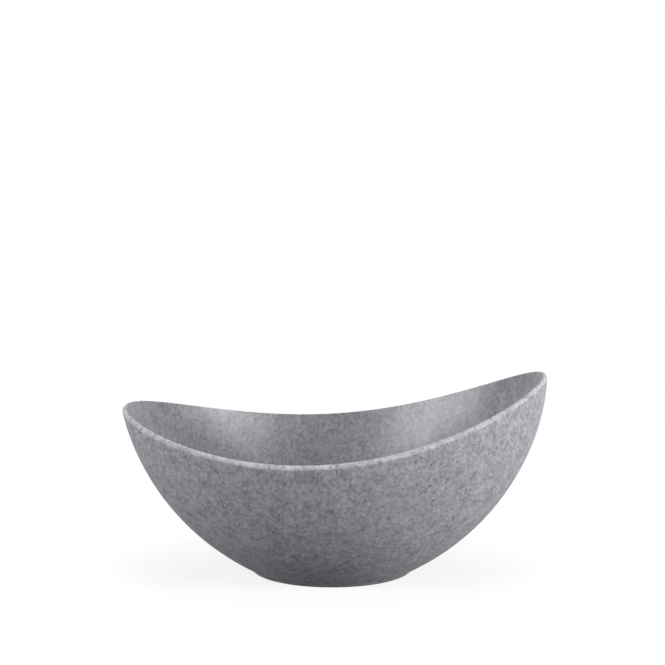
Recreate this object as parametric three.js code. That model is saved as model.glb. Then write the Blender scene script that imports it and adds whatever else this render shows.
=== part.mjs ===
// Oval buffet bowl, pressed from speckled grey melamine. Its lip dips at the waist and climbs to a high
// end (+X) and to a lower end (-X), and its oval wall narrows to a round foot. A clear glaze layer,
// pressed on in a second stroke, covers the food side from the lip to the floor.
// Millimetres, +Z up. The origin lies on the table, below the middle of the bowl's length and width.
import * as THREE from 'three';

// Outside of the wall
const HALF_LENGTH = 151.2; // reach along X, where the wall stands upright
const HALF_WIDTH = 123.2; // reach along Y, at the same height
const WALL_START_ANGLE = 25.4; // degrees above the table, where the wall leaves the foot
const WALL_START_PULL = 73; // how far the wall holds that direction before it bends up
const WALL_UPRIGHT_PULL = 43; // how far the wall stays upright below its top

// Lip
const HIGH_END_HEIGHT = 141; // above the table, at the +X end
const LOW_END_HEIGHT = 118; // above the table, at the -X end
const WAIST_HEIGHT = 94.4; // above the table, in the middle of the long sides
const WAIST_TILT = 4; // degrees that the lip climbs towards +X at the waist
const LIP_FLAT = 0.5; // width of the ground flat on top, between the two rounded edges
const LIP_INNER_ROUND = 0.5; // edge towards the food; the outer edge takes the rest of the wall

// Thickness of wall and floor, glaze included
const WALL_AT_TABLE = 4.2;
const WALL_AT_TOP = 2.9;
const FLOOR_THICKNESS = 4.8;
const WELL_EDGE_BEND = 6; // length, each way, over which the floor turns into the wall

// Foot
const FOOT_RADIUS = 57.5;
const FOOT_HEIGHT = 2; // rounded off outside over all of it
const FOOT_RING_WIDTH = 6; // flat ring that the bowl stands on
const RECESS_DEPTH = 1.2; // underside inside that ring
const RECESS_SLOPE = 1.6; // run of the slope between ring and recess

// Glaze
const GLAZE_THICKNESS = 0.35;
const BOND_GAP = 0.05; // between the glaze and the rebate that it fills

// Fineness of the facets
const SEGMENTS = 64; // round the bowl
const WALL_STEPS = 13; // up the wall
const EDGE_STEPS = 3; // round a small edge
const BEND_STEPS = 4; // from the wall to the floor
const BISECTIONS = 48; // halvings that place a point on a curve

// Sizes that follow
const WALL_TOP = Math.max(HIGH_END_HEIGHT, LOW_END_HEIGHT);
const NARROWING = (HALF_WIDTH - FOOT_RADIUS) / (HALF_LENGTH - FOOT_RADIUS);
const FLOOR_LEVEL = RECESS_DEPTH + FLOOR_THICKNESS;
const REBATE_DEPTH = GLAZE_THICKNESS + BOND_GAP;
const RING_OUTER_RADIUS = FOOT_RADIUS - FOOT_HEIGHT;
const RING_INNER_RADIUS = RING_OUTER_RADIUS - FOOT_RING_WIDTH;
const RECESS_RADIUS = RING_INNER_RADIUS - RECESS_SLOPE;

// The long section of the wall, from the top of the foot to the top of the high end: x is its reach from
// the foot's axis, y its height
const startAngle = THREE.MathUtils.degToRad(WALL_START_ANGLE);
const wallStart = new THREE.Vector2(FOOT_RADIUS, FOOT_HEIGHT);
const startDirection = new THREE.Vector2(Math.cos(startAngle), Math.sin(startAngle));
const wallCurve = new THREE.CubicBezierCurve(
  wallStart,
  wallStart.clone().addScaledVector(startDirection, WALL_START_PULL),
  new THREE.Vector2(HALF_LENGTH, WALL_TOP - WALL_UPRIGHT_PULL),
  new THREE.Vector2(HALF_LENGTH, WALL_TOP),
);

// Values from 0 to 1 in equal steps, both ends included
function shares(steps) {
  return Array.from({ length: steps + 1 }, (_, step) => step / steps);
}

// The place between low and high where a rising function passes zero
function crossing(rising, low, high) {
  let below = low;
  let above = high;
  for (let halving = 0; halving < BISECTIONS; halving += 1) {
    const middle = (below + above) / 2;
    if (rising(middle) < 0) below = middle;
    else above = middle;
  }
  return below;
}

// A point on a level circle round the foot's axis
function circlePoint(radius, angle, height) {
  return new THREE.Vector3(radius * Math.cos(angle), radius * Math.sin(angle), height);
}

// Height of the lip along X: a curve through both ends and the waist, with the waist's own tilt
function lipHeight(x) {
  const share = x / HALF_LENGTH;
  const lean = Math.tan(THREE.MathUtils.degToRad(WAIST_TILT)) * HALF_LENGTH;
  const bow = (HIGH_END_HEIGHT + LOW_END_HEIGHT) / 2 - WAIST_HEIGHT;
  const twist = (HIGH_END_HEIGHT - LOW_END_HEIGHT) / 2 - lean;
  return WAIST_HEIGHT + lean * share + bow * share ** 2 + twist * share ** 3;
}

// The wall grows thinner from the table to its top, as a pressing must to leave its mould
function wallThickness(height) {
  return THREE.MathUtils.lerp(WALL_AT_TABLE, WALL_AT_TOP, height / WALL_TOP);
}

// The lip's outer edge takes what the flat and the inner edge leave of the wall
function lipOuterRound(height) {
  return wallThickness(height) - LIP_FLAT - LIP_INNER_ROUND;
}

// Half the width of the oval whose half length is reach
function halfWidth(reach) {
  return FOOT_RADIUS + (reach - FOOT_RADIUS) * NARROWING;
}

// A point on the outside of the wall: climb runs from 0 at the foot to 1 at the top, and angle runs round
// the oval from +X
function outside(climb, angle) {
  const section = wallCurve.getPoint(climb);
  const width = halfWidth(section.x);
  return new THREE.Vector3(section.x * Math.cos(angle), width * Math.sin(angle), section.y);
}

// The direction square to the wall there, away from the food
function outward(climb, angle) {
  const reach = wallCurve.getPoint(climb).x;
  const rise = wallCurve.getTangent(climb);
  const round = new THREE.Vector3(-reach * Math.sin(angle), halfWidth(reach) * Math.cos(angle), 0);
  const up = new THREE.Vector3(rise.x * Math.cos(angle), rise.x * NARROWING * Math.sin(angle), rise.y);
  return round.cross(up).normalize();
}

// A point inside the wall, at a depth below its food side
function inside(climb, angle, depth) {
  const point = outside(climb, angle);
  const thickness = wallThickness(point.z) - depth;
  return point.addScaledVector(outward(climb, angle), -thickness);
}

// How far up the wall curve the lip's outer edge starts
function outerEdgeClimb(angle) {
  const aboveLip = (climb) => {
    const point = outside(climb, angle);
    return point.z + lipOuterRound(point.z) - lipHeight(point.x);
  };
  return crossing(aboveLip, 0, 1);
}

// The direction out of the lip's flat, square to the wall and to the run of the lip
function lipUp(angle) {
  const nudge = Math.PI / SEGMENTS;
  const ahead = outside(outerEdgeClimb(angle + nudge), angle + nudge);
  const behind = outside(outerEdgeClimb(angle - nudge), angle - nudge);
  return outward(outerEdgeClimb(angle), angle).cross(ahead.sub(behind)).normalize();
}

// How far up the wall curve the lip's inner edge starts, on the food side
function innerEdgeClimb(angle) {
  const outerFoot = outside(outerEdgeClimb(angle), angle);
  const up = lipUp(angle);
  const rise = lipOuterRound(outerFoot.z) - LIP_INNER_ROUND;
  return crossing((climb) => inside(climb, angle, 0).sub(outerFoot).dot(up) - rise, 0, 1);
}

// The rounded lip across one place of the wall, from the outside to the food side
function lipSection(angle) {
  const outerClimb = outerEdgeClimb(angle);
  const innerClimb = innerEdgeClimb(angle);
  const up = lipUp(angle);
  const edge = (foot, away, radius) => shares(EDGE_STEPS).map((share) => {
    const turn = (share * Math.PI) / 2;
    return foot
      .clone()
      .addScaledVector(up, radius * Math.sin(turn))
      .addScaledVector(away, radius * (Math.cos(turn) - 1));
  });
  const outerFoot = outside(outerClimb, angle);
  const innerFoot = inside(innerClimb, angle, 0);
  const outerEdge = edge(outerFoot, outward(outerClimb, angle), lipOuterRound(outerFoot.z));
  const innerEdge = edge(innerFoot, outward(innerClimb, angle).negate(), LIP_INNER_ROUND);
  return [...outerEdge.slice(1), ...innerEdge.reverse()];
}

// The food side at one place round the bowl, from its top edge down to the rim of the level floor. A
// depth above zero gives the surface that lies so far below it.
function foodSide(angle, depth, topClimb) {
  const floor = FLOOR_LEVEL - depth;
  const creaseClimb = crossing((climb) => inside(climb, angle, depth).z - floor, 0, topClimb);
  const crease = inside(creaseClimb, angle, depth);
  const fromCrease = (climb) => inside(climb, angle, depth).distanceTo(crease) - WELL_EDGE_BEND;
  const bendClimb = crossing(fromCrease, creaseClimb, topClimb);
  const wall = shares(WALL_STEPS).map((share) => (
    inside(THREE.MathUtils.lerp(topClimb, bendClimb, share), angle, depth)
  ));
  const inward = new THREE.Vector3(-crease.x, -crease.y, 0).setLength(WELL_EDGE_BEND);
  const floorRim = crease.clone().add(inward);
  const bend = new THREE.QuadraticBezierCurve3(wall.at(-1), crease, floorRim);
  return [...wall, ...bend.getPoints(BEND_STEPS).slice(1)];
}

// The underside and the rounded outside of the foot, from the recess to just below the start of the wall
function footSection(angle) {
  const edge = shares(EDGE_STEPS).slice(0, -1).map((share) => {
    const turn = (share * Math.PI) / 2;
    const radius = RING_OUTER_RADIUS + FOOT_HEIGHT * Math.sin(turn);
    return circlePoint(radius, angle, FOOT_HEIGHT * (1 - Math.cos(turn)));
  });
  const recess = circlePoint(RECESS_RADIUS, angle, RECESS_DEPTH);
  const ringInner = circlePoint(RING_INNER_RADIUS, angle, 0);
  return [recess, ringInner, ...edge];
}

// One section of the pressed body, from the recess round the outside and over the lip to the rebated
// floor
function bodySection(angle) {
  const topClimb = outerEdgeClimb(angle);
  const wall = shares(WALL_STEPS).map((share) => outside(share * topClimb, angle));
  const rebate = foodSide(angle, REBATE_DEPTH, innerEdgeClimb(angle));
  return [...footSection(angle), ...wall, ...lipSection(angle), ...rebate];
}

// One section of the glaze, up the face bonded to the body and down the food side
function glazeSection(angle) {
  const lipClimb = innerEdgeClimb(angle);
  const lipEdge = inside(lipClimb, angle, 0);
  const toLip = (climb) => BOND_GAP - inside(climb, angle, 0).distanceTo(lipEdge);
  const topClimb = crossing(toLip, 0, lipClimb);
  const bonded = foodSide(angle, GLAZE_THICKNESS, topClimb).reverse();
  return [...bonded, ...foodSide(angle, 0, topClimb)];
}

// A closed skin round the foot's axis, made of like sections. A point on the axis closes each of its
// ends.
function closedSkin(section, firstHeight, lastHeight) {
  const sections = shares(SEGMENTS)
    .slice(0, -1)
    .map((share) => section(share * 2 * Math.PI));
  const rings = sections[0].length;
  const [firstPole, lastPole] = [firstHeight, lastHeight].map((height) => new THREE.Vector3(0, 0, height));
  const points = [firstPole, ...sections.flat(), lastPole];
  const at = (segment, ring) => 1 + (segment % SEGMENTS) * rings + ring;
  const span = (from, to) => points[from].distanceTo(points[to]);
  // Two triangles, split along the shorter diagonal, so that two faces bonded together are split alike
  const quad = (a, b, c, d) => (span(a, c) < span(b, d) ? [a, b, c, a, c, d] : [a, b, d, b, c, d]);
  const faces = [];
  for (let segment = 0; segment < SEGMENTS; segment += 1) {
    const next = segment + 1;
    faces.push(0, at(next, 0), at(segment, 0));
    for (let ring = 0; ring < rings - 1; ring += 1) {
      faces.push(...quad(at(segment, ring), at(next, ring), at(next, ring + 1), at(segment, ring + 1)));
    }
    faces.push(at(segment, rings - 1), at(next, rings - 1), points.length - 1);
  }
  const geometry = new THREE.BufferGeometry().setFromPoints(points);
  geometry.setIndex(faces);
  geometry.computeVertexNormals();
  return geometry;
}

function namedMesh(name, geometry, material) {
  const mesh = new THREE.Mesh(geometry, material);
  mesh.name = name;
  return mesh;
}

const melamine = new THREE.MeshStandardMaterial({ color: '#7d7b81', roughness: 0.55, metalness: 0 });
const clearGlaze = new THREE.MeshStandardMaterial({ color: '#86848a', roughness: 0.4, metalness: 0 });

const bodySkin = closedSkin(bodySection, RECESS_DEPTH, FLOOR_LEVEL - REBATE_DEPTH);
const glazeSkin = closedSkin(glazeSection, FLOOR_LEVEL - GLAZE_THICKNESS, FLOOR_LEVEL);

const bowl = new THREE.Group();
bowl.add(namedMesh('bowl_body', bodySkin, melamine));
bowl.add(namedMesh('food_side_glaze', glazeSkin, clearGlaze));

// The high end reaches a little further from the foot than the low end does, so the foot's axis stands
// back from the middle of the length
const highReach = outside(outerEdgeClimb(0), 0).x;
const lowReach = -outside(outerEdgeClimb(Math.PI), Math.PI).x;
bowl.position.x = (lowReach - highReach) / 2;

export default bowl;
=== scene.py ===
# %% [markdown]
# # An oval buffet bowl in speckled melamine
# The bowl is pressed in one piece from melamine moulding powder, and a clear glaze is fused to its food
# side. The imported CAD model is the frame: it fixes every size and place. This script makes the same two
# pieces again with a finer surface, and gives them their finishes, a floor, light and a camera. Everything
# in Blender is in metres, with +Z up and +X towards the bowl's high end.

# %% Load the frame
import math

import bpy
import numpy as np
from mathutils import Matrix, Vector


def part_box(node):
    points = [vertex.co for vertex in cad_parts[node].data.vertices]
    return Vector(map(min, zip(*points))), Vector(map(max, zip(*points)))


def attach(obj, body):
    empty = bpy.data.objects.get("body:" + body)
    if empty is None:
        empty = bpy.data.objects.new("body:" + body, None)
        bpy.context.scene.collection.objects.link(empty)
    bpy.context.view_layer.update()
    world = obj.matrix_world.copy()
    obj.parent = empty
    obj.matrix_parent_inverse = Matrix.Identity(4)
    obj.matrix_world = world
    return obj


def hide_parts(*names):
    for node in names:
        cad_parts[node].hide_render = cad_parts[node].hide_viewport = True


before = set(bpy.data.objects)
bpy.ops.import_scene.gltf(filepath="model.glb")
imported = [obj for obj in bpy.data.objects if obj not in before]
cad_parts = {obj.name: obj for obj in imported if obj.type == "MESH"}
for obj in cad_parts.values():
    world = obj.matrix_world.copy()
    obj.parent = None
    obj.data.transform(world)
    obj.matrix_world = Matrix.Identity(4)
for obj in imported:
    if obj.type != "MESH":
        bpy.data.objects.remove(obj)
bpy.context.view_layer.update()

body_low, body_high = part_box("bowl_body")
print("nodes:", sorted(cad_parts))
print("the bowl measures", [round(1000 * size) for size in body_high - body_low], "mm")

# %% [markdown]
# ## The wall as a formula
# Seen from the side, the wall is one smooth curve that leaves the round foot at a low angle and ends
# upright. A modelling program could revolve that curve and pull the result oval with a lattice, but the
# lattice would make the wall thinner along one axis than along the other. A formula is as short and stays
# exact: `climb` runs up the wall curve from 0 at the foot to 1 at the top, `angle` runs round the oval from
# +X, and every level is an ellipse. The sizes are the construction's own, in millimetres as on a maker's
# drawing, so the fine surface lies on the CAD solids. They are turned to metres where a mesh is made.

# %% The curve of the wall
HALF_LENGTH = 151.2         # reach along X, where the wall stands upright
HALF_WIDTH = 123.2          # reach along Y, at the same height
HIGH_END_HEIGHT = 141.0     # lip above the table, at the +X end
LOW_END_HEIGHT = 118.0      # lip above the table, at the -X end
FOOT_RADIUS = 57.5
FOOT_HEIGHT = 2.0           # rounded off outside over all of it
WALL_START_ANGLE = 25.4     # degrees above the table, where the wall leaves the foot
WALL_START_PULL = 73.0      # how far the wall holds that direction before it bends up
WALL_UPRIGHT_PULL = 43.0    # how far the wall stays upright below its top

WALL_TOP = max(HIGH_END_HEIGHT, LOW_END_HEIGHT)
wall_start = np.array([FOOT_RADIUS, FOOT_HEIGHT])
start_turn = math.radians(WALL_START_ANGLE)
wall_curve = [
    wall_start,
    wall_start + WALL_START_PULL * np.array([math.cos(start_turn), math.sin(start_turn)]),
    np.array([HALF_LENGTH, WALL_TOP - WALL_UPRIGHT_PULL]),
    np.array([HALF_LENGTH, WALL_TOP]),
]
print("the wall curve's four points:", [point.round(1).tolist() for point in wall_curve])

# %% Points on the outside of the wall
NARROWING = (HALF_WIDTH - FOOT_RADIUS) / (HALF_LENGTH - FOOT_RADIUS)


def on_wall_curve(climb):
    """Reach and height on the wall's long section, and how fast both change, for an array of climbs."""
    t = np.asarray(climb)[..., None]
    a, b, c, d = wall_curve
    place = (1 - t) ** 3 * a + 3 * (1 - t) ** 2 * t * b + 3 * (1 - t) * t ** 2 * c + t ** 3 * d
    rate = 3 * (1 - t) ** 2 * (b - a) + 6 * (1 - t) * t * (c - b) + 3 * t ** 2 * (d - c)
    return place[..., 0], place[..., 1], rate[..., 0], rate[..., 1]


def half_width(reach):
    """Half the width of the oval whose half length is reach."""
    return FOOT_RADIUS + (reach - FOOT_RADIUS) * NARROWING


def outside(climb, angle):
    """Points on the outside of the wall."""
    reach, height, _, _ = on_wall_curve(climb)
    return np.stack([reach * np.cos(angle), half_width(reach) * np.sin(angle), height + 0 * angle], -1)


def outward(climb, angle):
    """Unit directions square to the wall, away from the food."""
    reach, _, reach_rate, height_rate = on_wall_curve(climb)
    around = np.stack([-reach * np.sin(angle), half_width(reach) * np.cos(angle), 0 * angle], -1)
    side_rate = reach_rate * NARROWING
    up = np.stack([reach_rate * np.cos(angle), side_rate * np.sin(angle), height_rate + 0 * angle], -1)
    square = np.cross(around, up)
    return square / np.linalg.norm(square, axis=-1, keepdims=True)


print("wall reaches", round(float(on_wall_curve(1.0)[0]), 1), "mm at its top")

# %% [markdown]
# ## The lip
# The lip runs where a saddle-shaped curve cuts the wall: high at one end, lower at the other, lowest near
# the waist. The place where the two cross is found by halving an interval until it is small, which needs no
# derivative and can't run away. The wall thins on its way up, because a pressing has to leave its mould,
# and the lip's outer edge takes its radius from the thickness that is left there.

# %% Height of the lip, thickness of the wall
WAIST_HEIGHT = 94.4         # lip above the table, in the middle of the long sides
WAIST_TILT = 4.0            # degrees that the lip climbs towards +X at the waist
WALL_AT_TABLE = 4.2         # thickness, if the wall went on down to the table
WALL_AT_TOP = 2.9
LIP_FLAT = 0.5              # ground flat on top of the lip, between its rounded edges
LIP_INNER_ROUND = 0.5       # edge towards the food; the outer edge takes the rest of the wall


def lip_height(x):
    """Height of the lip along X: through both ends and the waist, with the waist's own tilt."""
    share = x / HALF_LENGTH
    lean = math.tan(math.radians(WAIST_TILT)) * HALF_LENGTH
    bow = (HIGH_END_HEIGHT + LOW_END_HEIGHT) / 2 - WAIST_HEIGHT
    twist = (HIGH_END_HEIGHT - LOW_END_HEIGHT) / 2 - lean
    return WAIST_HEIGHT + lean * share + bow * share ** 2 + twist * share ** 3


def wall_thickness(height):
    """Thickness of the wall, square to its outside, at a height of the outside."""
    return WALL_AT_TABLE + (WALL_AT_TOP - WALL_AT_TABLE) * height / WALL_TOP


def lip_outer_round(height):
    """Radius of the lip's outer edge: what the flat and the inner edge leave of the wall."""
    return wall_thickness(height) - LIP_FLAT - LIP_INNER_ROUND


print("wall at the waist's lip:", round(wall_thickness(WAIST_HEIGHT), 2), "mm thick")

# %% Where the lip cuts the wall
HALVINGS = 48               # enough to leave less than a millionth of a millimetre


def crossing(rising, low, high):
    """Where a rising function of an array passes zero, between two arrays of bounds."""
    for _ in range(HALVINGS):
        middle = (low + high) / 2
        below = rising(middle) < 0
        low = np.where(below, middle, low)
        high = np.where(below, high, middle)
    return low


def outer_edge_climb(angle):
    """How far up the wall curve the lip's outer edge starts."""
    def above_lip(climb):
        points = outside(climb, angle)
        return points[..., 2] + lip_outer_round(points[..., 2]) - lip_height(points[..., 0])
    return crossing(above_lip, np.zeros_like(angle), np.ones_like(angle))


both_ends = np.array([0.0, math.pi])
ends = outside(outer_edge_climb(both_ends), both_ends)
FOOT_AXIS_X = -(ends[0, 0] + ends[1, 0]) / 2    # puts the origin under the middle of the bowl's length
print("the foot's axis stands at x =", round(float(FOOT_AXIS_X), 2), "mm")

# %% [markdown]
# ## Rings round the bowl
# Both pieces are skins of rings: each ring is one array of points round the bowl, and quads join it to the
# next. Quads in even rows shade smoothly, which the ragged faces of a boolean cut would not. The food side
# is the outside moved inwards by the wall's thickness, down to a soft bend, and then a level floor.

# %% Level rings and floors
SEGMENTS = 192              # points in each ring
FLOOR_RINGS = 5             # between the rim of a level floor and its middle

angles = np.arange(SEGMENTS) * 2 * math.pi / SEGMENTS
outer_climbs = outer_edge_climb(angles)


def level_ring(radius, height):
    """A round, level ring about the foot's axis."""
    return np.stack([radius * np.cos(angles), radius * np.sin(angles), np.full(SEGMENTS, height)], -1)


def floor_rings(ring):
    """Rings from the rim of a level floor towards the axis."""
    centre = np.array([0.0, 0.0, ring[0, 2]])
    shares = [1 - step / (FLOOR_RINGS + 1) for step in range(1, FLOOR_RINGS + 1)]
    return [centre + (ring - centre) * share for share in shares]


lip_heights = outside(outer_climbs, angles)[:, 2]
print("the lip's edge starts", lip_heights.min().round(1), "to", lip_heights.max().round(1), "mm up")

# %% The food side, and surfaces below it
RECESS_DEPTH = 1.2          # underside of the bowl, inside its foot ring
FLOOR_THICKNESS = 4.8
WELL_EDGE_BEND = 6.0        # length, each way, over which the floor turns into the wall
WALL_RINGS = 48             # up each side of the wall
BEND_RINGS = 10             # round that bend

FLOOR_LEVEL = RECESS_DEPTH + FLOOR_THICKNESS


def inside(climb, angle, depth):
    """Points in the wall, at a depth below its food side."""
    points = outside(climb, angle)
    thickness = wall_thickness(points[..., 2:]) - depth
    return points - outward(climb, angle) * thickness


def food_side_rings(depth, top_climbs):
    """The food side, or a surface below it, from its top edge to the floor and on to the floor's middle."""
    def above_floor(climb):
        return inside(climb, angles, depth)[:, 2] - (FLOOR_LEVEL - depth)
    crease_climbs = crossing(above_floor, 0 * angles, top_climbs)
    crease = inside(crease_climbs, angles, depth)

    def past_bend(climb):
        return np.linalg.norm(inside(climb, angles, depth) - crease, axis=1) - WELL_EDGE_BEND
    bend_climbs = crossing(past_bend, crease_climbs, top_climbs)
    shares = np.linspace(0, 1, WALL_RINGS + 1)
    wall = [inside(top_climbs + (bend_climbs - top_climbs) * share, angles, depth) for share in shares]

    flat = crease * [1, 1, 0]
    floor_rim = crease - flat / np.linalg.norm(flat, axis=1, keepdims=True) * WELL_EDGE_BEND
    turns = np.linspace(0, 1, BEND_RINGS + 1)[1:]
    bend = [(1 - t) ** 2 * wall[-1] + 2 * t * (1 - t) * crease + t ** 2 * floor_rim for t in turns]
    return wall + bend + floor_rings(bend[-1])


print("floor level", FLOOR_LEVEL, "mm above the table")

# %% [markdown]
# ## A closed skin from rings
# Each piece is one list of rings that starts and ends at the axis, with a point there to close it. It could
# be a surface with a Solidify modifier, but the body is not the same thickness all over. One closed list
# gives a solid with no stray faces, and it still says which ring a face belongs to when the finishes are
# given out.

# %% From rings to a piece
MM = 0.001                  # metres
SHARP_ANGLE = 32            # degrees between faces above which an edge is drawn sharp


def skin_piece(name, rings):
    """A closed mesh object from rings, with a point on the axis at each end."""
    poles = [rings[0].mean(axis=0) * [0, 0, 1], rings[-1].mean(axis=0) * [0, 0, 1]]
    points = np.vstack([poles[0], *rings, poles[1]])
    points = (points + [FOOT_AXIS_X, 0, 0]) * MM
    last = len(points) - 1
    faces = []
    for i in range(SEGMENTS):
        j = (i + 1) % SEGMENTS
        faces.append((0, 1 + j, 1 + i))
        for ring in range(len(rings) - 1):
            low, high = 1 + ring * SEGMENTS, 1 + (ring + 1) * SEGMENTS
            faces.append((low + i, low + j, high + j, high + i))
        top = 1 + (len(rings) - 1) * SEGMENTS
        faces.append((top + i, top + j, last))
    mesh = bpy.data.meshes.new(name)
    mesh.from_pydata(points.tolist(), [], faces)
    mesh.shade_smooth()
    mesh.set_sharp_from_angle(angle=math.radians(SHARP_ANGLE))
    piece = bpy.data.objects.new(name, mesh)
    bpy.context.collection.objects.link(piece)
    print(name, "has", len(mesh.polygons), "faces in", len(rings), "rings")
    return piece


# %% [markdown]
# ## The pressed body
# The body carries the foot ring, the outside, the lip and the rebate under the glaze. Its foot is a low
# ring, rounded outside, round a shallow recess, so that the bowl stands on a narrow flat and doesn't rock.
# The lip is ground after pressing, to take off the thin flash where the two mould halves met: that leaves a
# narrow flat with softened edges all round. It is modelled rather than drawn with bump, because it shows
# from every side.

# %% The foot and the outside, as rings
FOOT_RING_WIDTH = 6.0       # flat ring that the bowl stands on
RECESS_SLOPE = 1.6          # width of the step from that ring up to the recess
EDGE_RINGS = 6              # round each softened edge

quarter_turns = np.linspace(0, math.pi / 2, EDGE_RINGS + 1)
ring_outer_radius = FOOT_RADIUS - FOOT_HEIGHT
ring_inner_radius = ring_outer_radius - FOOT_RING_WIDTH
recess_rim = level_ring(ring_inner_radius - RECESS_SLOPE, RECESS_DEPTH)
recess_rings = floor_rings(recess_rim)[::-1] + [recess_rim]

foot_rings = [level_ring(ring_inner_radius, 0.0)]
for turn in quarter_turns[:-1]:
    radius = ring_outer_radius + FOOT_HEIGHT * math.sin(turn)
    foot_rings.append(level_ring(radius, FOOT_HEIGHT * (1 - math.cos(turn))))

outer_rings = [outside(outer_climbs * share, angles) for share in np.linspace(0, 1, WALL_RINGS + 1)]
print("the bowl stands on a ring", 2 * ring_outer_radius, "mm across outside")

# %% The ground lip, as rings
outer_start = outer_rings[-1]
outer_round = lip_outer_round(outer_start[:, 2:])
outer_away = outward(outer_climbs, angles)
along_lip = np.roll(outer_start, -1, axis=0) - np.roll(outer_start, 1, axis=0)
lip_up = np.cross(outer_away, along_lip)
lip_up /= np.linalg.norm(lip_up, axis=1, keepdims=True)


def past_inner_start(climb):
    """How far the food side has climbed past the place where the lip's inner edge starts."""
    rise = np.sum((inside(climb, angles, 0.0) - outer_start) * lip_up, axis=1)
    return rise - (outer_round[:, 0] - LIP_INNER_ROUND)


inner_climbs = crossing(past_inner_start, 0 * angles, 1 + 0 * angles)
inner_start = inside(inner_climbs, angles, 0.0)
inner_away = -outward(inner_climbs, angles)


def lip_edge(edge_start, away, radius, turn):
    """One ring of a rounded edge, from its start on the wall to the flat, a quarter turn further."""
    return edge_start + lip_up * radius * math.sin(turn) + away * radius * (math.cos(turn) - 1)


lip_rings = [lip_edge(outer_start, outer_away, outer_round, turn) for turn in quarter_turns[1:]]
lip_rings += [lip_edge(inner_start, inner_away, LIP_INNER_ROUND, turn) for turn in quarter_turns[::-1]]
print("outer edge of the lip:", round(outer_round.min(), 2), "to", round(outer_round.max(), 2), "mm radius")

# %% Make the pressed body
GLAZE_THICKNESS = 0.35
BOND_GAP = 0.05             # between the glaze and the rebate that it fills

rebate_rings = food_side_rings(GLAZE_THICKNESS + BOND_GAP, inner_climbs)
body_rings = recess_rings + foot_rings + outer_rings + lip_rings + rebate_rings
pressed_body = skin_piece("pressed_body", body_rings)
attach(pressed_body, "root")
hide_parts("bowl_body")

# %% [markdown]
# ## The glaze on the food side
# After the body has set, the press opens, glazing powder is strewn in, and a second stroke melts it to a
# clear layer about a third of a millimetre thick. It fills the rebate, flush with the lip. A glaze could be
# a coat in the body's shader, but here it is its own closed piece, so that it can be weighed and replaced
# by itself.

# %% Make the glaze layer
def near_lip(climb):
    """Negative until the food side comes within the bond gap of the lip's inner edge."""
    return BOND_GAP - np.linalg.norm(inside(climb, angles, 0.0) - inner_start, axis=1)


glaze_tops = crossing(near_lip, 0 * angles, inner_climbs)
bonded_rings = food_side_rings(GLAZE_THICKNESS, glaze_tops)[::-1]
glaze_layer = skin_piece("glaze_layer", bonded_rings + food_side_rings(0.0, glaze_tops))
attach(glaze_layer, "root")
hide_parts("food_side_glaze")

# %% [markdown]
# ## Colours and nodes
# Colours are written as sRGB hex values, the way a colour picker shows them, and one function turns them to
# the linear values that a shader works with. One more function adds a node: its settings are keyword
# arguments, and each input is either a value or a socket to link from. The Mix node has a set of sockets of
# the same names for each kind of data, so those are picked by number: 2 and 3 mix numbers, 6 and 7 mix
# colours.

# %% Colour and node helpers
def linear(hex_colour):
    """An sRGB hex colour as linear red, green, blue and alpha."""
    channels = [int(hex_colour[i:i + 2], 16) / 255 for i in (1, 3, 5)]
    # The numbers are the sRGB standard's own
    return (*(c / 12.92 if c <= 0.04045 else ((c + 0.055) / 1.055) ** 2.4 for c in channels), 1.0)


def add_node(tree, kind, inputs=None, **settings):
    """Add a node, give it its settings, and set or link its inputs by name or number."""
    made = tree.nodes.new(kind)
    for name, value in settings.items():
        setattr(made, name, value)
    for name, value in (inputs or {}).items():
        if isinstance(value, bpy.types.NodeSocket):
            tree.links.new(value, made.inputs[name])
        else:
            made.inputs[name].default_value = value
    return made


def new_material(name):
    """An empty node material, and its output node."""
    material = bpy.data.materials.new(name)
    material.use_nodes = True
    material.node_tree.nodes.clear()
    return material, add_node(material.node_tree, "ShaderNodeOutputMaterial")


print("middle grey in linear light:", [round(c, 3) for c in linear("#808080")])

# %% [markdown]
# ## The powder, melted together
# Melamine-formaldehyde powder is coloured grey and mixed with darker and paler granules of the same resin.
# Under the press it melts into soft-edged grains of one or two millimetres. To the eye that is a mottled
# stone of a faintly violet grey. A picture of stone would stretch over the oval wall, so the grains are
# solid textures in the bowl's own space, cut by its surface as real grains are. The press drives the powder
# up the wall, so every texture is drawn out a little in height.

# %% Melted grains
GRAIN_SPACING = 2.4         # millimetres from one melted grain to the next
GRAIN_DETAIL = 3.0          # finer steps within a grain
GRAIN_BREAK_UP = 0.62       # how strongly those finer steps show
CLOUD_SPACING = 7.0         # millimetres between patches where the mould was filled unevenly
CLOUD_DETAIL = 1.0
CLOUD_SHARE = 0.28          # of the tone; the grains carry the rest
DARKEST, PALEST = 0.30, 0.70    # the noise swings about one half, mostly between these


def melted_powder(tree, place, dark, pale):
    """The mottled colour of the melted powder, as a socket."""
    grain = add_node(tree, "ShaderNodeTexNoise", {
        "Vector": place, "Scale": 1 / (GRAIN_SPACING * MM),
        "Detail": GRAIN_DETAIL, "Roughness": GRAIN_BREAK_UP})
    cloud = add_node(tree, "ShaderNodeTexNoise", {
        "Vector": place, "Scale": 1 / (CLOUD_SPACING * MM), "Detail": CLOUD_DETAIL})
    mottle = add_node(tree, "ShaderNodeMix", {
        0: CLOUD_SHARE, 2: grain.outputs["Fac"], 3: cloud.outputs["Fac"]})
    tone = add_node(tree, "ShaderNodeMapRange", {
        "Value": mottle.outputs[0], "From Min": DARKEST, "From Max": PALEST})
    colour = add_node(tree, "ShaderNodeMix", {
        0: tone.outputs["Result"], 6: linear(dark), 7: linear(pale)}, data_type="RGBA")
    return colour.outputs[2]


print("melted grains", GRAIN_SPACING, "mm apart, in patches", CLOUD_SPACING, "mm apart")

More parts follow.
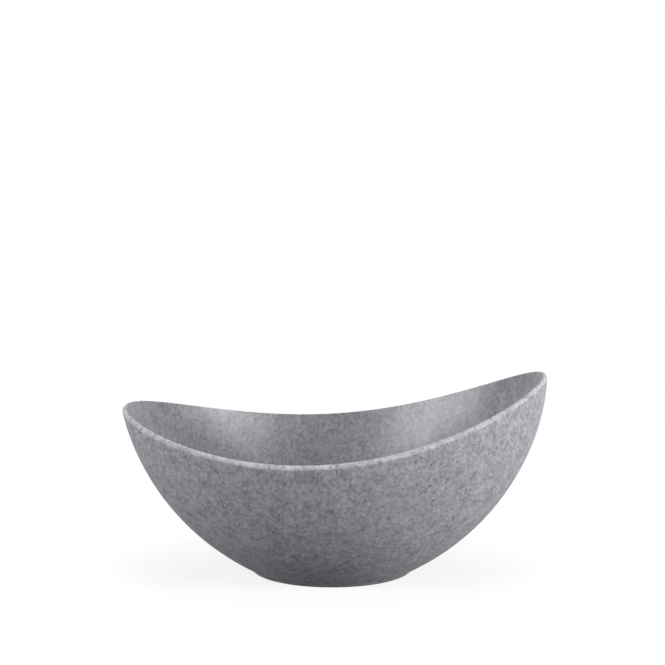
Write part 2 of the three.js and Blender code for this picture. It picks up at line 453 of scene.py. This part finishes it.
# %% [markdown]
# ## Granules left whole
# Some granules don't melt: dark ones and, a little smaller, pale chips. A Voronoi texture puts one point in
# each of its cells, and a soft disc round that point is the granule. Scattering thousands of small meshes
# would show the same and cost far more. Every cell also has a random tone, and only the cells with a high
# one show a granule, so that the granules lie strewn about and not in rows.

# %% Dark granules and pale chips
# Spacing and radius are in millimetres; strength is how far a granule's colour covers the powder
DARK_GRANULES = {"spacing": 4.6, "radius": 0.95, "least_tone": 0.62, "strength": 0.6}
PALE_CHIPS = {"spacing": 4.1, "radius": 0.8, "least_tone": 0.7, "strength": 0.45}
SOFT_FROM, SOFT_TO = 0.35, 1.3      # the melted edge of a granule, as shares of its radius


def strew_granules(tree, place, powder, colour, spacing, radius, least_tone, strength):
    """The powder's colour with whole granules of one kind strewn into it, as a socket."""
    cells = add_node(tree, "ShaderNodeTexVoronoi", {
        "Vector": place, "Scale": 1 / (spacing * MM), "Randomness": 1.0})
    disc = add_node(tree, "ShaderNodeMapRange", {
        "Value": cells.outputs["Distance"],
        "From Min": SOFT_FROM * radius / spacing, "From Max": SOFT_TO * radius / spacing,
        "To Min": 1.0, "To Max": 0.0}, interpolation_type="SMOOTHSTEP")
    chosen = add_node(tree, "ShaderNodeMath", {
        0: cells.outputs["Color"], 1: least_tone}, operation="GREATER_THAN")
    shown = add_node(tree, "ShaderNodeMath", {
        0: disc.outputs["Result"], 1: chosen.outputs[0]}, operation="MULTIPLY")
    faint = add_node(tree, "ShaderNodeMath", {0: shown.outputs[0], 1: strength}, operation="MULTIPLY")
    laid_in = add_node(tree, "ShaderNodeMix", {
        0: faint.outputs[0], 6: powder, 7: linear(colour)}, data_type="RGBA")
    return laid_in.outputs[2]


print("granules", 2 * DARK_GRANULES["radius"], "mm and chips", 2 * PALE_CHIPS["radius"], "mm across")

# %% [markdown]
# ## The surface of melamine
# A satin mould is finely blasted, and its grit is pressed into the resin. The grit is seen less as bumps
# than as a sheen: it spreads a highlight and makes it slightly uneven. So one fine noise drives both the
# bump and a little of the roughness. Each finish then needs only its colours, its roughness, the height of
# its grit and its gloss, and one function makes them all.

# %% The melamine shader
GRAIN_STRETCH = 1.15            # height of a grain against its width
GRIT_SPACING = 0.9              # millimetres; real grit, nearer 0.2, is too fine to show, so this is coarser
GRIT_DETAIL = 3.0
GRIT_LOW, GRIT_HIGH = 0.3, 0.7  # the noise swings about one half, mostly between these
ROUGHNESS_SPREAD = 0.06         # each way
MELAMINE_IOR = 1.6              # typical of melamine resin
REFLECTION_TINT = "#fcfaff"     # the resin is a little violet, and so is what it reflects


def melamine(name, dark, pale, granule, chip, roughness, grit_height, gloss):
    """A speckled melamine finish, with its grit's height in millimetres."""
    material, output = new_material(name)
    tree = material.node_tree
    in_bowl = add_node(tree, "ShaderNodeTexCoord").outputs["Object"]
    place = add_node(tree, "ShaderNodeVectorMath", {
        0: in_bowl, 1: (1.0, 1.0, 1 / GRAIN_STRETCH)}, operation="MULTIPLY").outputs["Vector"]
    colour = melted_powder(tree, place, dark, pale)
    colour = strew_granules(tree, place, colour, granule, **DARK_GRANULES)
    colour = strew_granules(tree, place, colour, chip, **PALE_CHIPS)

    grit = add_node(tree, "ShaderNodeTexNoise", {
        "Vector": place, "Scale": 1 / (GRIT_SPACING * MM), "Detail": GRIT_DETAIL}).outputs["Fac"]
    bump = add_node(tree, "ShaderNodeBump", {
        "Height": grit, "Strength": 1.0, "Distance": grit_height * MM})
    sheen = add_node(tree, "ShaderNodeMapRange", {
        "Value": grit, "From Min": GRIT_LOW, "From Max": GRIT_HIGH,
        "To Min": roughness - ROUGHNESS_SPREAD, "To Max": roughness + ROUGHNESS_SPREAD})
    shader = add_node(tree, "ShaderNodeBsdfPrincipled", {
        "Base Color": colour, "Roughness": sheen.outputs["Result"], "Normal": bump.outputs["Normal"],
        "IOR": MELAMINE_IOR, "Specular IOR Level": gloss, "Specular Tint": linear(REFLECTION_TINT)})
    tree.links.new(shader.outputs["BSDF"], output.inputs["Surface"])
    print(name, "has", len(tree.nodes), "nodes")
    return material


# %% [markdown]
# ## Four finishes from one powder
# The outside, the food side and the lip are the same speckled melamine, and differ in how their surface was
# made; the food side's colours are also darkened as painted shade. The foot is the same melamine again, with
# darker colours painted on as shade. Satin melamine has a roughness of about 0.4 to 0.6 and a gloss of about
# 0.5, Blender's usual value. The food side stays close to that. For the other three a much lower gloss was
# matched: everything round the bowl is white here, and a full gloss would veil the speckle with it.

# %% The outside and the food side
# Pressed against a blasted mould: a satin skin that shows its speckle in full and mirrors next to nothing
pressed_melamine = melamine(
    "speckled_melamine_pressed_satin", dark="#656369", pale="#9d9ba1", granule="#3d3b41", chip="#bcbac1",
    roughness=0.6, grit_height=0.03, gloss=0.03)

# Under the clear glaze the powder looks wet and deeper, and soft boxes show as broad highlights; its colours
# are also darkened, as painted shade for the inside of the bowl
glazed_melamine = melamine(
    "speckled_melamine_under_clear_glaze", dark="#4f4d53", pale="#8b898f", granule="#38363b", chip="#9d9ba2",
    roughness=0.36, grit_height=0.01, gloss=0.45)

# %% The lip and the foot
# Ground: the opened grains scatter light, so the lip is a pale, chalky line
ground_melamine = melamine(
    "speckled_melamine_ground_edge", dark="#6f6d73", pale="#b5b3b9", granule="#3d3b41", chip="#bcbac1",
    roughness=0.6, grit_height=0.03, gloss=0.03)

# Painted shade: a darker copy for the foot's ring and rounded edge, so the bowl ends in a dark line at the
# table
foot_shade_melamine = melamine(
    "speckled_melamine_painted_shade_foot", dark="#4f4d52", pale="#7c7a7f", granule="#3d3b41", chip="#94929a",
    roughness=0.6, grit_height=0.03, gloss=0.03)

# %% [markdown]
# ## Which faces take which finish
# The outside and the recess keep the pressed skin, the lip takes the ground finish, and the foot's ring and
# its rounded edge take the darker copy, painted shade where the bowl meets the table. A mask painted over the
# body would blur these borders. Faces are chosen by the ring that they start from instead, so a border
# follows its edge exactly.

# %% Assign the finishes
glaze_layer.data.materials.append(glazed_melamine)
for finish in (pressed_melamine, ground_melamine, foot_shade_melamine):
    pressed_body.data.materials.append(finish)
GROUND, FOOT_SHADE = 1, 2         # places in the body's list of finishes; a new face takes the first, 0

first_outer_row = len(recess_rings) + len(foot_rings)
first_lip_row = first_outer_row + len(outer_rings) - 1
# The foot's rows take the painted shade
foot_shade_rows = range(len(recess_rings), first_outer_row)
ground_rows = range(first_lip_row, first_lip_row + len(lip_rings))
faces_per_segment = len(pressed_body.data.polygons) // SEGMENTS
for face in pressed_body.data.polygons:
    row = face.index % faces_per_segment - 1
    if row in foot_shade_rows:
        face.material_index = FOOT_SHADE
    elif row in ground_rows:
        face.material_index = GROUND
print("rows of faces:", len(foot_shade_rows), "shaded,", len(ground_rows), "ground, of", faces_per_segment)

# %% [markdown]
# ## Floor and background
# A pale sheet under the bowl keeps its soft shadow. It could be bent up behind the bowl as a studio sweep,
# but a bend would show as a band of shade. Instead the floor stays flat and turns to plain white away from
# the bowl, where it meets a white background without a line. Both whites are set only for the rays that
# look at them, straight, in a reflection or through glass, and send no extra light onto the bowl.

# %% Set the background
ROOM_LIGHT = 0.02           # what the walls of a dark studio give back
WHITE = "#ffffff"


def seen(tree):
    """1 for rays that look: from the camera, from a reflection or through glass."""
    path = add_node(tree, "ShaderNodeLightPath")
    either = add_node(tree, "ShaderNodeMath", {
        0: path.outputs["Is Camera Ray"], 1: path.outputs["Is Glossy Ray"]}, operation="MAXIMUM")
    return add_node(tree, "ShaderNodeMath", {
        0: either.outputs[0], 1: path.outputs["Is Transmission Ray"]}, operation="MAXIMUM").outputs[0]


studio = bpy.data.worlds.new("studio")
bpy.context.scene.world = studio
studio.use_nodes = True
tree = studio.node_tree
tree.nodes.clear()
room = add_node(tree, "ShaderNodeBackground", {"Color": linear(WHITE), "Strength": ROOM_LIGHT})
backdrop = add_node(tree, "ShaderNodeBackground", {"Color": linear(WHITE), "Strength": 1.0})
picked = add_node(tree, "ShaderNodeMixShader", {
    0: seen(tree), 1: room.outputs["Background"], 2: backdrop.outputs["Background"]})
add_node(tree, "ShaderNodeOutputWorld", {"Surface": picked.outputs["Shader"]})
print("white background, room light", ROOM_LIGHT)

# %% Lay the floor
FLOOR_HALF = 6.0            # metres, to each side of the bowl
FLOOR_DROP = 0.0001         # keeps the floor from coinciding with the foot ring

signs = ((-1, -1), (1, -1), (1, 1), (-1, 1))
floor_mesh = bpy.data.meshes.new("floor")
floor_mesh.from_pydata([(x * FLOOR_HALF, y * FLOOR_HALF, -FLOOR_DROP) for x, y in signs], [], [(0, 1, 2, 3)])
floor = bpy.data.objects.new("floor", floor_mesh)
bpy.context.collection.objects.link(floor)
print("floor is", 2 * FLOOR_HALF, "m wide")

# %% Paint the floor
SHADOW_RADIUS = 0.20        # metres; within this the floor is plain and takes the shadow
WHITE_RADIUS = 0.75         # beyond this it is white
PAPER_COLOUR = "#7a7a7a"    # what the floor sends back to the bowl and keeps of its shadow
PAPER_GLOW = 0.80           # what it takes to look pale all the same

# Matt paper: no sheen, only a soft even return of light and a soft shadow
paper_sheet, paper_output = new_material("matt_white_paper_sheet")
tree = paper_sheet.node_tree
looks = seen(tree)
paper_place = add_node(tree, "ShaderNodeTexCoord").outputs["Object"]
from_bowl = add_node(tree, "ShaderNodeVectorMath", {0: paper_place}, operation="LENGTH")
fade = add_node(tree, "ShaderNodeMapRange", {
    "Value": from_bowl.outputs["Value"], "From Min": SHADOW_RADIUS, "From Max": WHITE_RADIUS,
}, interpolation_type="SMOOTHSTEP")
white_share = add_node(tree, "ShaderNodeMath", {0: fade.outputs["Result"], 1: looks}, operation="MULTIPLY")
glow_share = add_node(tree, "ShaderNodeMath", {0: looks, 1: PAPER_GLOW}, operation="MULTIPLY")
paper = add_node(tree, "ShaderNodeBsdfDiffuse", {"Color": linear(PAPER_COLOUR)})
glow = add_node(tree, "ShaderNodeEmission", {"Strength": glow_share.outputs[0]})
pale_paper = add_node(tree, "ShaderNodeAddShader", {0: paper.outputs["BSDF"], 1: glow.outputs["Emission"]})
white = add_node(tree, "ShaderNodeEmission", {"Strength": 1.0})
painted = add_node(tree, "ShaderNodeMixShader", {
    0: white_share.outputs[0], 1: pale_paper.outputs["Shader"], 2: white.outputs["Emission"]})
tree.links.new(painted.outputs["Shader"], paper_output.inputs["Surface"])
floor_mesh.materials.append(paper_sheet)
print("floor turns white between", SHADOW_RADIUS, "and", WHITE_RADIUS, "m")

# %% [markdown]
# ## Light
# The studio has soft boxes only, all at one distance and turned to the middle of the bowl. A front box and
# a low side box stand on each side: the right-hand pair is stronger and brightens the flank under the high
# end, and the front boxes show as two highlights in the glaze. A wide box high behind the bowl and one
# overhead light the lip and the floor of the bowl. Lamps with a size are used, not points, because a satin
# skin shows how large its light is by how softly the highlight ends.

# %% Hang the soft boxes
LAMP_DISTANCE = 1.3         # metres from the point that the lamps are turned to
LAMP_AIM_HEIGHT = 0.07      # metres above the table, half way up the bowl


def soft_box(name, azimuth, elevation, size, power):
    """A square lamp, placed by angles from the bowl: azimuth 0 is the camera's side, 90 is +X."""
    lamp = bpy.data.lights.new(name, "AREA")
    lamp.shape = "SQUARE"
    lamp.size = size
    lamp.energy = power
    box = bpy.data.objects.new(name, lamp)
    turn, lift = math.radians(azimuth), math.radians(elevation)
    spread = LAMP_DISTANCE * math.cos(lift)
    height = LAMP_DISTANCE * math.sin(lift) + LAMP_AIM_HEIGHT
    box.location = (spread * math.sin(turn), -spread * math.cos(turn), height)
    box.rotation_euler = (math.pi / 2 - lift, 0.0, turn)
    bpy.context.collection.objects.link(box)
    print(name, "at", [round(c, 2) for c in box.location], "with", power, "W")


soft_box("right_front_soft_box", azimuth=54, elevation=20, size=0.7, power=13.5)
soft_box("right_side_soft_box", azimuth=74, elevation=6, size=0.5, power=15.5)
soft_box("left_front_soft_box", azimuth=-47, elevation=24, size=0.6, power=11.0)
soft_box("left_side_soft_box", azimuth=-72, elevation=12, size=0.5, power=7.0)
soft_box("back_soft_box", azimuth=180, elevation=50, size=0.9, power=9.0)
soft_box("overhead_soft_box", azimuth=0, elevation=90, size=0.6, power=6.0)

# %% [markdown]
# ## Camera
# The photographed view is low: the camera stands a little above the lip and looks slightly down, from just
# right of the bowl's middle. The bowl sits in the lower half of the frame. A shifted lens would put it
# there too, but aiming above the bowl leaves the lens centred, so views from other sides are framed in the
# same way.

# %% Place the camera
CAMERA_DISTANCE = 1.1675    # metres from the point that it is aimed at
CAMERA_PITCH = 5.64         # degrees below level
CAMERA_YAW = 2.62           # degrees round the bowl towards +X
CAMERA_AIM_X = -0.0011      # metres, next to the bowl's middle
CAMERA_AIM_HEIGHT = 0.1693  # metres above the table
LENS = 89.54                # millimetres on a 36 mm sensor

pitch, yaw = math.radians(CAMERA_PITCH), math.radians(CAMERA_YAW)
camera_data = bpy.data.cameras.new("camera")
camera_data.lens = LENS
camera = bpy.data.objects.new("camera", camera_data)
camera_spread = CAMERA_DISTANCE * math.cos(pitch)
camera.location = (
    CAMERA_AIM_X + camera_spread * math.sin(yaw),
    -camera_spread * math.cos(yaw),
    CAMERA_AIM_HEIGHT + CAMERA_DISTANCE * math.sin(pitch))
camera.rotation_euler = (math.pi / 2 - pitch, 0.0, yaw)
bpy.context.collection.objects.link(camera)
bpy.context.scene.camera = camera
bpy.context.scene.view_settings.view_transform = "Standard"
print("camera at", [round(c, 3) for c in camera.location])
